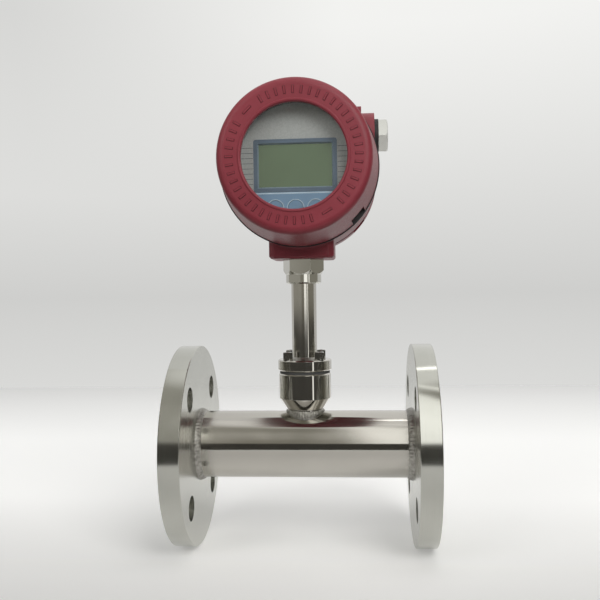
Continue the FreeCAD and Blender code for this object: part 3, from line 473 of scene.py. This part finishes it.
def piece(name, vertices, faces, material, body, smooth=False):
    mesh = bpy.data.meshes.new(name)
    mesh.from_pydata(vertices, [], faces)
    mesh.update()
    mesh.materials.append(LOOKS[material])
    for polygon in mesh.polygons:
        polygon.use_smooth = smooth
    made = bpy.data.objects.new(name, mesh)
    bpy.context.scene.collection.objects.link(made)
    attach(made, body)
    return made


class Mesh:
    """Vertices and faces gathered for one piece."""

    def __init__(self):
        self.vertices = []
        self.faces = []

    def grid(self, rows, close_rows=False, close_columns=False):
        """Joins rows of points, each as long as the last, into a sheet of quads."""
        start = len(self.vertices)
        count = len(rows[0])
        for row in rows:
            self.vertices.extend(row)
        last_row = len(rows) if close_rows else len(rows) - 1
        last_column = count if close_columns else count - 1
        for i in range(last_row):
            for j in range(last_column):
                a = start + i * count + j
                b = start + i * count + (j + 1) % count
                c = start + (i + 1) % len(rows) * count + (j + 1) % count
                d = start + (i + 1) % len(rows) * count + j
                self.faces.append((a, b, c, d))

    def box(self, low, high):
        start = len(self.vertices)
        for x in (low[0], high[0]):
            for y in (low[1], high[1]):
                for z in (low[2], high[2]):
                    self.vertices.append((x, y, z))
        for corners in ((0, 1, 3, 2), (4, 6, 7, 5), (0, 4, 5, 1), (2, 3, 7, 6), (0, 2, 6, 4), (1, 5, 7, 3)):
            self.faces.append(tuple(start + c for c in corners))


# Cast marks on the front cover: plain ribs in two arcs, with a long dash between them
RIB_COUNT = 48
RIB_INNER = 40.2 * MM
RIB_OUTER = 45.8 * MM
RIB_WIDTH = 1.9 * MM
RIB_SLOPE = 0.5 * MM
DASH_PLACES = (18, 40)
DASH_L = 7.5 * MM


def rib(marks, angle, inner, outer, width):
    """A raised bar with sloping sides, along a radius of the cover's face."""
    u = Vector((math.cos(angle), 0.0, math.sin(angle)))
    v = Vector((-math.sin(angle), 0.0, math.cos(angle)))
    centre = Vector((NECK_X, COVER_FACE_Y, HEAD_Z))
    rows = []
    for sink, inset in ((0.05 * MM, 0.0), (-RIB_HEIGHT, RIB_SLOPE)):
        low = inner + inset
        high = outer - inset
        half = width / 2.0 - inset
        corners = ((low, -half), (high, -half), (high, half), (low, half))
        rows.append([tuple(centre + u * a + v * b + Vector((0.0, sink, 0.0))) for a, b in corners])
    marks.grid(rows, False, True)
    top = len(marks.vertices) - 4
    marks.faces.append((top, top + 1, top + 2, top + 3))


def cover_marks():
    marks = Mesh()
    pitch = 2.0 * math.pi / RIB_COUNT
    middle_r = (RIB_INNER + RIB_OUTER) / 2.0
    for i in range(RIB_COUNT):
        if i in DASH_PLACES:
            rib(marks, i * pitch, middle_r - RIB_WIDTH / 2.0, middle_r + RIB_WIDTH / 2.0, DASH_L)
        elif i - 1 not in DASH_PLACES and i + 1 not in DASH_PLACES:
            rib(marks, i * pitch, RIB_INNER, RIB_OUTER, RIB_WIDTH)
    piece("cover_marks", marks.vertices, marks.faces, "mark_red", "front_cover")


# Weld beads: the ripples that a torch leaves, bowed from one toe to the other
BEAD_STEPS = 480
BEAD_ROWS = 10
WELD_HEIGHT = 2.2 * MM
WELD_LENGTH = 4.2 * MM
SEAL_LEG = 4.0 * MM


def bead(weld, place, start, end, out, ripples, depth):
    """A rippled bead between two toes, each (radius, along); out is how its middle swells."""
    rows = []
    for i in range(BEAD_STEPS):
        angle = 2.0 * math.pi * i / BEAD_STEPS
        wander = 0.06 * math.sin(7.0 * angle + 1.0) + 0.06 * math.sin(11.0 * angle)
        row = []
        for j in range(BEAD_ROWS + 1):
            t = j / BEAD_ROWS
            bow = math.sin(math.pi * t)
            lift = bow * (1.0 + wander + depth * math.sin(ripples * angle + 2.2 * bow))
            row.append(place(
                start[0] + (end[0] - start[0]) * t + out[0] * lift,
                start[1] + (end[1] - start[1]) * t + out[1] * lift, angle))
        rows.append(row)
    weld.grid(rows, True, False)


def about_tube(radius, along, angle):
    return (along, radius * math.cos(angle), radius * math.sin(angle))


def on_crown(radius, share, angle):
    """A point round the neck axis; share runs from the tube's surface (0) to the socket's foot (1)."""
    y = radius * math.sin(angle)
    crown = math.sqrt(TUBE_R * TUBE_R - y * y)
    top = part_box("socket_weld")[1].z
    return (NECK_X + radius * math.cos(angle), y, crown + (top - crown) * share)


def flange_beads(name, node, way):
    """The outer bead on a flange's back and the seal bead in its bore."""
    low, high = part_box(node)
    seal, tip = (low.x, high.x) if way > 0.0 else (high.x, low.x)
    back = tip - way * WELD_LENGTH
    weld = Mesh()
    swell = (0.22 * MM, way * 0.12 * MM)
    bead(weld, about_tube, (TUBE_R + WELD_HEIGHT, back), (TUBE_R, tip), swell, 64.0, 0.6)
    inward = (-0.15 * MM, -way * 0.15 * MM)
    bead(weld, about_tube, (TUBE_R, seal), (TUBE_R - SEAL_LEG, seal + way * SEAL_LEG), inward, 56.0, 0.4)
    made = piece(name, weld.vertices, weld.faces, "weld_steel", "pipe_section", True)
    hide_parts(node)


def socket_bead():
    """The bead round the socket's foot, laid on the crown of the tube."""
    low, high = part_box("socket_weld")
    toe = (high.x - low.x) / 2.0
    weld = Mesh()
    bead(weld, on_crown, (toe - 1.65 * MM, 1.0), (toe - 0.2 * MM, 0.0), (0.35 * MM, 0.0), 46.0, 0.5)
    made = piece("socket_bead", weld.vertices, weld.faces, "weld_steel", "pipe_section", True)
    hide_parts("socket_weld")


# Hexagon bolts with chamfered heads, in place of the plain ones
BOLT_AF = 7.0 * MM
BOLT_HEAD = 5.0 * MM
BOLT_SHANK_R = 2.0 * MM
BOLT_STEPS = 48
BOLT_TURN = math.radians(4.0)


def hexagon_bolts():
    low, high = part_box("plate_bolts")
    seat = high.z - BOLT_HEAD
    washers_low, washers_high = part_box("plate_washers")
    reach = (washers_high.x - washers_low.x) / 2.0 - 3.7 * MM
    bolts = Mesh()
    for i in range(4):
        corner = math.radians(45.0 + 90.0 * i)
        x = NECK_X + reach * (1.0 if math.cos(corner) > 0.0 else -1.0)
        y = reach * (1.0 if math.sin(corner) > 0.0 else -1.0)
        rows = []
        for j in range(BOLT_STEPS):
            angle = 2.0 * math.pi * j / BOLT_STEPS
            local = (angle - math.radians(30.0)) % (math.pi / 3.0) - math.pi / 6.0
            flat = BOLT_AF / 2.0 / math.cos(local)
            fall = (flat - BOLT_AF * 0.475) * 0.577
            cos, sin = math.cos(BOLT_TURN + angle), math.sin(BOLT_TURN + angle)
            rows.append([
                (x + r * cos, y + r * sin, z) for r, z in (
                    (0.0, low.z), (BOLT_SHANK_R, low.z), (BOLT_SHANK_R, seat), (flat, seat),
                    (flat, high.z - fall), (BOLT_AF * 0.475, high.z), (BOLT_AF * 0.30, high.z),
                    (BOLT_AF * 0.27, high.z - 0.25 * MM), (0.0, high.z - 0.25 * MM))])
        bolts.grid(rows, True, False)
    made = piece(
        "plate_bolt_set", bolts.vertices, bolts.faces, "fastener_steel", "pipe_section")
    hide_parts("plate_bolts")


# Display print
PRINT_T = 0.06 * MM
SIDE_LINES = 8
SIDE_LINE_PITCH = 3.49 * MM
SIDE_LINE_H = 0.34 * MM
SIDE_LINE_L = 8.0 * MM
KEY_RING_INNER = 5.35 * MM
KEY_RING_OUTER = 5.85 * MM
RING_STEPS = 64
FRAME_BAND = 2.6 * MM
BEVEL_WIDTH = 0.8 * MM
BEVEL_PLAY = 0.02 * MM


def side_lines():
    lines = Mesh()
    for i in range(SIDE_LINES):
        z = LCD_CENTRE_Z + (i - (SIDE_LINES - 1) / 2.0) * SIDE_LINE_PITCH
        for x in (FRAME_LOW.x - 0.4 * MM - SIDE_LINE_L, FRAME_HIGH.x + 0.4 * MM):
            lines.box(
                (x, PLATE_FRONT_Y - PRINT_T, z - SIDE_LINE_H / 2.0),
                (x + SIDE_LINE_L, PLATE_FRONT_Y, z + SIDE_LINE_H / 2.0))
    piece("display_side_lines", lines.vertices, lines.faces, "print_dark", "head")


def pale_print():
    """The pale line under the display's frame and the rings round the keys."""
    marks = Mesh()
    top = FRAME_LOW.z - PANEL_LINE_DROP / 2.0
    reach = FRAME_HIGH.x - NECK_X + 2.0 * MM
    marks.box(
        (NECK_X - reach, PLATE_FRONT_Y - PRINT_T, top - PANEL_LINE_DROP),
        (NECK_X + reach, PLATE_FRONT_Y, top))
    for key in ("key_left", "key_centre", "key_right"):
        centre = middle(key)
        rows = []
        for i in range(RING_STEPS):
            angle = 2.0 * math.pi * i / RING_STEPS
            u, v = math.cos(angle), math.sin(angle)
            rows.append([
                (centre.x + r * u, y, centre.z + r * v)
                for r, y in (
                    (KEY_RING_INNER, PLATE_FRONT_Y), (KEY_RING_INNER, PLATE_FRONT_Y - PRINT_T),
                    (KEY_RING_OUTER, PLATE_FRONT_Y - PRINT_T), (KEY_RING_OUTER, PLATE_FRONT_Y))])
        marks.grid(rows, True, True)
    piece("display_pale_print", marks.vertices, marks.faces, "print_pale", "head")


def display_bevel():
    """The sloping lip inside the display's frame, from the frame's front down to the glass."""
    front = FRAME_LOW.y + 0.1 * MM
    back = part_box("lcd_panel")[0].y
    half_x = (FRAME_HIGH.x - FRAME_LOW.x) / 2.0 - FRAME_BAND - BEVEL_PLAY
    half_z = (FRAME_HIGH.z - FRAME_LOW.z) / 2.0 - FRAME_BAND - BEVEL_PLAY
    centre_x = (FRAME_LOW.x + FRAME_HIGH.x) / 2.0
    rows = []
    for u, v in ((-1.0, -1.0), (1.0, -1.0), (1.0, 1.0), (-1.0, 1.0)):
        rows.append([
            (centre_x + u * (half_x - inset), y, LCD_CENTRE_Z + v * (half_z - inset))
            for inset, y in ((0.0, front), (BEVEL_WIDTH, back), (0.0, back))])
    lip = Mesh()
    lip.grid(rows, True, True)
    piece("display_bevel", lip.vertices, lip.faces, "bevel_blue", "head")


mark_coat("mark_red")
moulded("bevel_blue", (0.22, 0.29, 0.36), 0.30)
moulded("print_dark", PRINT_DARK, 0.5)
moulded("print_pale", PRINT_PALE, 0.5)
side_lines()
pale_print()
display_bevel()
cover_marks()
flange_beads("inlet_beads", "inlet_welds", 1.0)
flange_beads("outlet_beads", "outlet_welds", -1.0)
socket_bead()
hexagon_bolts()


# Camera, floor and light

def camera():
    right = Vector((math.cos(CAMERA_YAW), math.sin(CAMERA_YAW), 0.0))
    ahead = Vector((-math.sin(CAMERA_YAW), math.cos(CAMERA_YAW), 0.0))
    up = Vector((0.0, 0.0, 1.0))
    look = math.cos(CAMERA_PITCH) * ahead + math.sin(CAMERA_PITCH) * up
    tilted = math.cos(CAMERA_PITCH) * up - math.sin(CAMERA_PITCH) * ahead
    side = math.cos(CAMERA_ROLL) * right + math.sin(CAMERA_ROLL) * tilted
    top = math.cos(CAMERA_ROLL) * tilted - math.sin(CAMERA_ROLL) * right
    data = bpy.data.cameras.new("camera")
    data.sensor_width = SENSOR_MM
    data.lens = FOCAL_PX / IMAGE_PX * SENSOR_MM
    data.clip_start = 0.02
    data.clip_end = 50.0
    made = bpy.data.objects.new("camera", data)
    bpy.context.scene.collection.objects.link(made)
    turn = Matrix((side, top, -look)).transposed().to_4x4()
    made.matrix_world = Matrix.Translation(Vector((NECK_X, 0.0, 0.0)) + CAMERA_FROM_NECK) @ turn
    bpy.context.scene.camera = made


def stage_mesh(name, vertices, faces, material, seen=True):
    """The floor, or with seen False a backdrop that shows only in reflections."""
    mesh = bpy.data.meshes.new(name)
    mesh.from_pydata(vertices, [], faces)
    mesh.materials.append(material)
    made = bpy.data.objects.new(name, mesh)
    bpy.context.scene.collection.objects.link(made)
    if not seen:
        made.visible_camera = False
        made.visible_diffuse = False
        made.visible_shadow = False
    return made


FLOOR_PALE = (0.80, 0.80, 0.79)
FLOOR_BOUNCE = (0.32, 0.32, 0.31)
FLOOR_HALF = 1.3
FLOOR_FRONT = -0.95
FLOOR_BACK = 0.95
# Painted glow on the floor by depth: none far in front of the object, more behind it.
PAINTED_GLOW_BY_DEPTH = ((-0.95, 0.0), (-0.15, 0.03), (0.12, 0.47), (0.40, 0.59), (0.95, 0.45))


def floor():
    look = Look("floor_pale", FLOOR_PALE, 0.5)
    look.shader.inputs["Specular IOR Level"].default_value = 0.0
    seen = look.shown()
    look.set("Base Color", look.mix(seen, FLOOR_BOUNCE, FLOOR_PALE))
    look.set("Roughness", look.spread(look.noise(8.0, 2.0), 0.3, 0.7, 0.45, 0.55))
    # Painted light: the floor glows for what is seen straight or in a mirror, not at all far in front of the
    # object and more behind it, so the metal mirrors the floor in front as painted shade.
    look.set("Emission Color", look.ramp(look.place()[2], PAINTED_GLOW_BY_DEPTH, (1.0, 1.0, 0.985)))
    look.set("Emission Strength", seen)
    corners = [
        (-FLOOR_HALF, FLOOR_FRONT, FLOOR_Z), (FLOOR_HALF, FLOOR_FRONT, FLOOR_Z),
        (FLOOR_HALF, FLOOR_BACK, FLOOR_Z), (-FLOOR_HALF, FLOOR_BACK, FLOOR_Z)]
    stage_mesh("floor", corners, [(0, 1, 2, 3)], look.material)


# A plain backdrop in front, round the camera's side: a dim wall with two bright strips and a dark foot.
# It shows only in reflections.
BACKDROP_R = 0.45
BACKDROP_CENTRE_Z = 0.03
BACKDROP_HALF_ANGLE = 106.0
BACKDROP_TOP = 92.0
BACKDROP_STEPS = 48
WALL_DIM = (0.27, 0.26, 0.22)
WALL_PALE = (0.38, 0.37, 0.33)
FOOT_DARK = (0.05, 0.048, 0.042)
STRIP_BRIGHT = (1.4, 1.4, 1.35)
CEILING_PALE = (1.0, 1.0, 0.97)
PALE_SIDE = -17.0
FOOT_TOP = 7.0
CEILING_FOOT = 64.0
WIDE_STRIP = (6.0, 28.0)
NARROW_STRIP = (36.0, 41.0)
STRIP_SOFT = 0.8
PALE_SIDE_SOFT = 3.0
CEILING_SOFT = 6.0
FOOT_SOFT = 1.0


def strip(look, value, low, high):
    """1 from low to high, with soft edges, and 0 elsewhere."""
    rise = look.spread(value, low - STRIP_SOFT, low + STRIP_SOFT, 0.0, 1.0)
    fall = look.spread(value, high - STRIP_SOFT, high + STRIP_SOFT, 1.0, 0.0)
    return look.math("MULTIPLY", rise, fall)


def degrees(look, value):
    return look.math("MULTIPLY", value, 180.0 / math.pi)


def backdrop():
    look = Look("backdrop_front", (0.0, 0.0, 0.0), 1.0)
    _, x, y, z = look.place()
    across = look.math("SUBTRACT", x, NECK_X)
    ahead = look.math("MULTIPLY", y, -1.0)
    squares = look.math("ADD", look.math("MULTIPLY", across, across), look.math("MULTIPLY", y, y))
    reach = look.math("SQRT", squares)
    height = degrees(look, look.math("ARCTAN2", look.math("SUBTRACT", z, BACKDROP_CENTRE_Z), reach))
    azimuth = degrees(look, look.math("ARCTAN2", across, ahead))
    pale_side = look.spread(azimuth, PALE_SIDE - PALE_SIDE_SOFT, PALE_SIDE + PALE_SIDE_SOFT, 1.0, 0.0)
    wall = look.mix(pale_side, WALL_DIM, WALL_PALE)
    wall = look.mix(strip(look, azimuth, *WIDE_STRIP), wall, STRIP_BRIGHT)
    ceiling = look.spread(height, CEILING_FOOT - CEILING_SOFT, CEILING_FOOT + CEILING_SOFT, 0.0, 1.0)
    wall = look.mix(ceiling, wall, CEILING_PALE)
    low = look.spread(height, FOOT_TOP - FOOT_SOFT, FOOT_TOP + FOOT_SOFT, 1.0, 0.0)
    wall = look.mix(low, wall, FOOT_DARK)
    wall = look.mix(strip(look, azimuth, *NARROW_STRIP), wall, STRIP_BRIGHT)
    look.set("Emission Color", wall)
    look.shader.inputs["Emission Strength"].default_value = 1.0
    dome = Mesh()
    foot = math.degrees(math.atan2(FLOOR_Z - BACKDROP_CENTRE_Z, BACKDROP_R))
    rows = []
    for i in range(BACKDROP_STEPS + 1):
        turn = math.radians(BACKDROP_HALF_ANGLE * (2.0 * i / BACKDROP_STEPS - 1.0))
        row = []
        for k in range(BACKDROP_STEPS + 1):
            rise = math.radians(foot + (BACKDROP_TOP - foot) * k / BACKDROP_STEPS)
            flat = BACKDROP_R * math.cos(rise)
            row.append((
                NECK_X + flat * math.sin(turn), -flat * math.cos(turn),
                BACKDROP_CENTRE_Z + BACKDROP_R * math.sin(rise)))
        rows.append(row)
    dome.grid(rows)
    stage_mesh("backdrop_front", dome.vertices, dome.faces, look.material, False)


# Square softboxes: name, place from the neck, side and power in watts
AIM = Vector((NECK_X, 0.0, 0.14))
LAMP_COLOUR = (1.0, 0.99, 0.97)
LAMPS = (
    ("key_right", (0.55, -1.00, 0.80), 0.6, 8.8),
    ("fill_left", (-0.70, -0.95, 0.75), 0.6, 4.0),
    ("above", (0.25, -0.25, 1.30), 0.9, 5.0),
)


def softbox(name, from_neck, side, power):
    data = bpy.data.lights.new(name, "AREA")
    data.shape = "RECTANGLE"
    data.size = side
    data.size_y = side
    data.energy = power
    data.color = LAMP_COLOUR
    made = bpy.data.objects.new(name, data)
    bpy.context.scene.collection.objects.link(made)
    place = Vector((NECK_X, 0.0, 0.0)) + Vector(from_neck)
    made.location = place
    made.rotation_euler = (AIM - place).to_track_quat("-Z", "Y").to_euler()
    made.visible_camera = False


SKY_LIGHT = 0.11
WALL_BY_RISE = ((-0.15, 0.72), (0.0, 0.62), (0.34, 0.89), (1.0, 0.95))


def world():
    """A pale wall behind: a little darker at the head's foot, lighter above and at the table."""
    made = bpy.data.worlds.new("studio")
    bpy.context.scene.world = made
    made.use_nodes = True
    sky = Nodes(made.node_tree)
    background = sky.tree.nodes["Background"]
    coords = sky.node("TexCoord")
    split = sky.node("SeparateXYZ")
    sky.feed(split.inputs[0], coords.outputs["Generated"])
    x, y, z = split.outputs
    wall = sky.ramp(z, WALL_BY_RISE, (1.0, 1.0, 0.98))
    dim = sky.math("MULTIPLY", sky.spread(x, -0.40, -0.02, 0.24, 0.0), sky.spread(z, 0.13, 0.34, 0.0, 1.0))
    wall = sky.mix(dim, wall, (0.0, 0.0, 0.0))
    lit = sky.mix(sky.shown(), (SKY_LIGHT, SKY_LIGHT, SKY_LIGHT), wall)
    sky.feed(background.inputs["Color"], lit)


camera()
floor()
backdrop()
world()
for lamp in LAMPS:
    softbox(*lamp)
bpy.context.scene.view_settings.view_transform = "Standard"
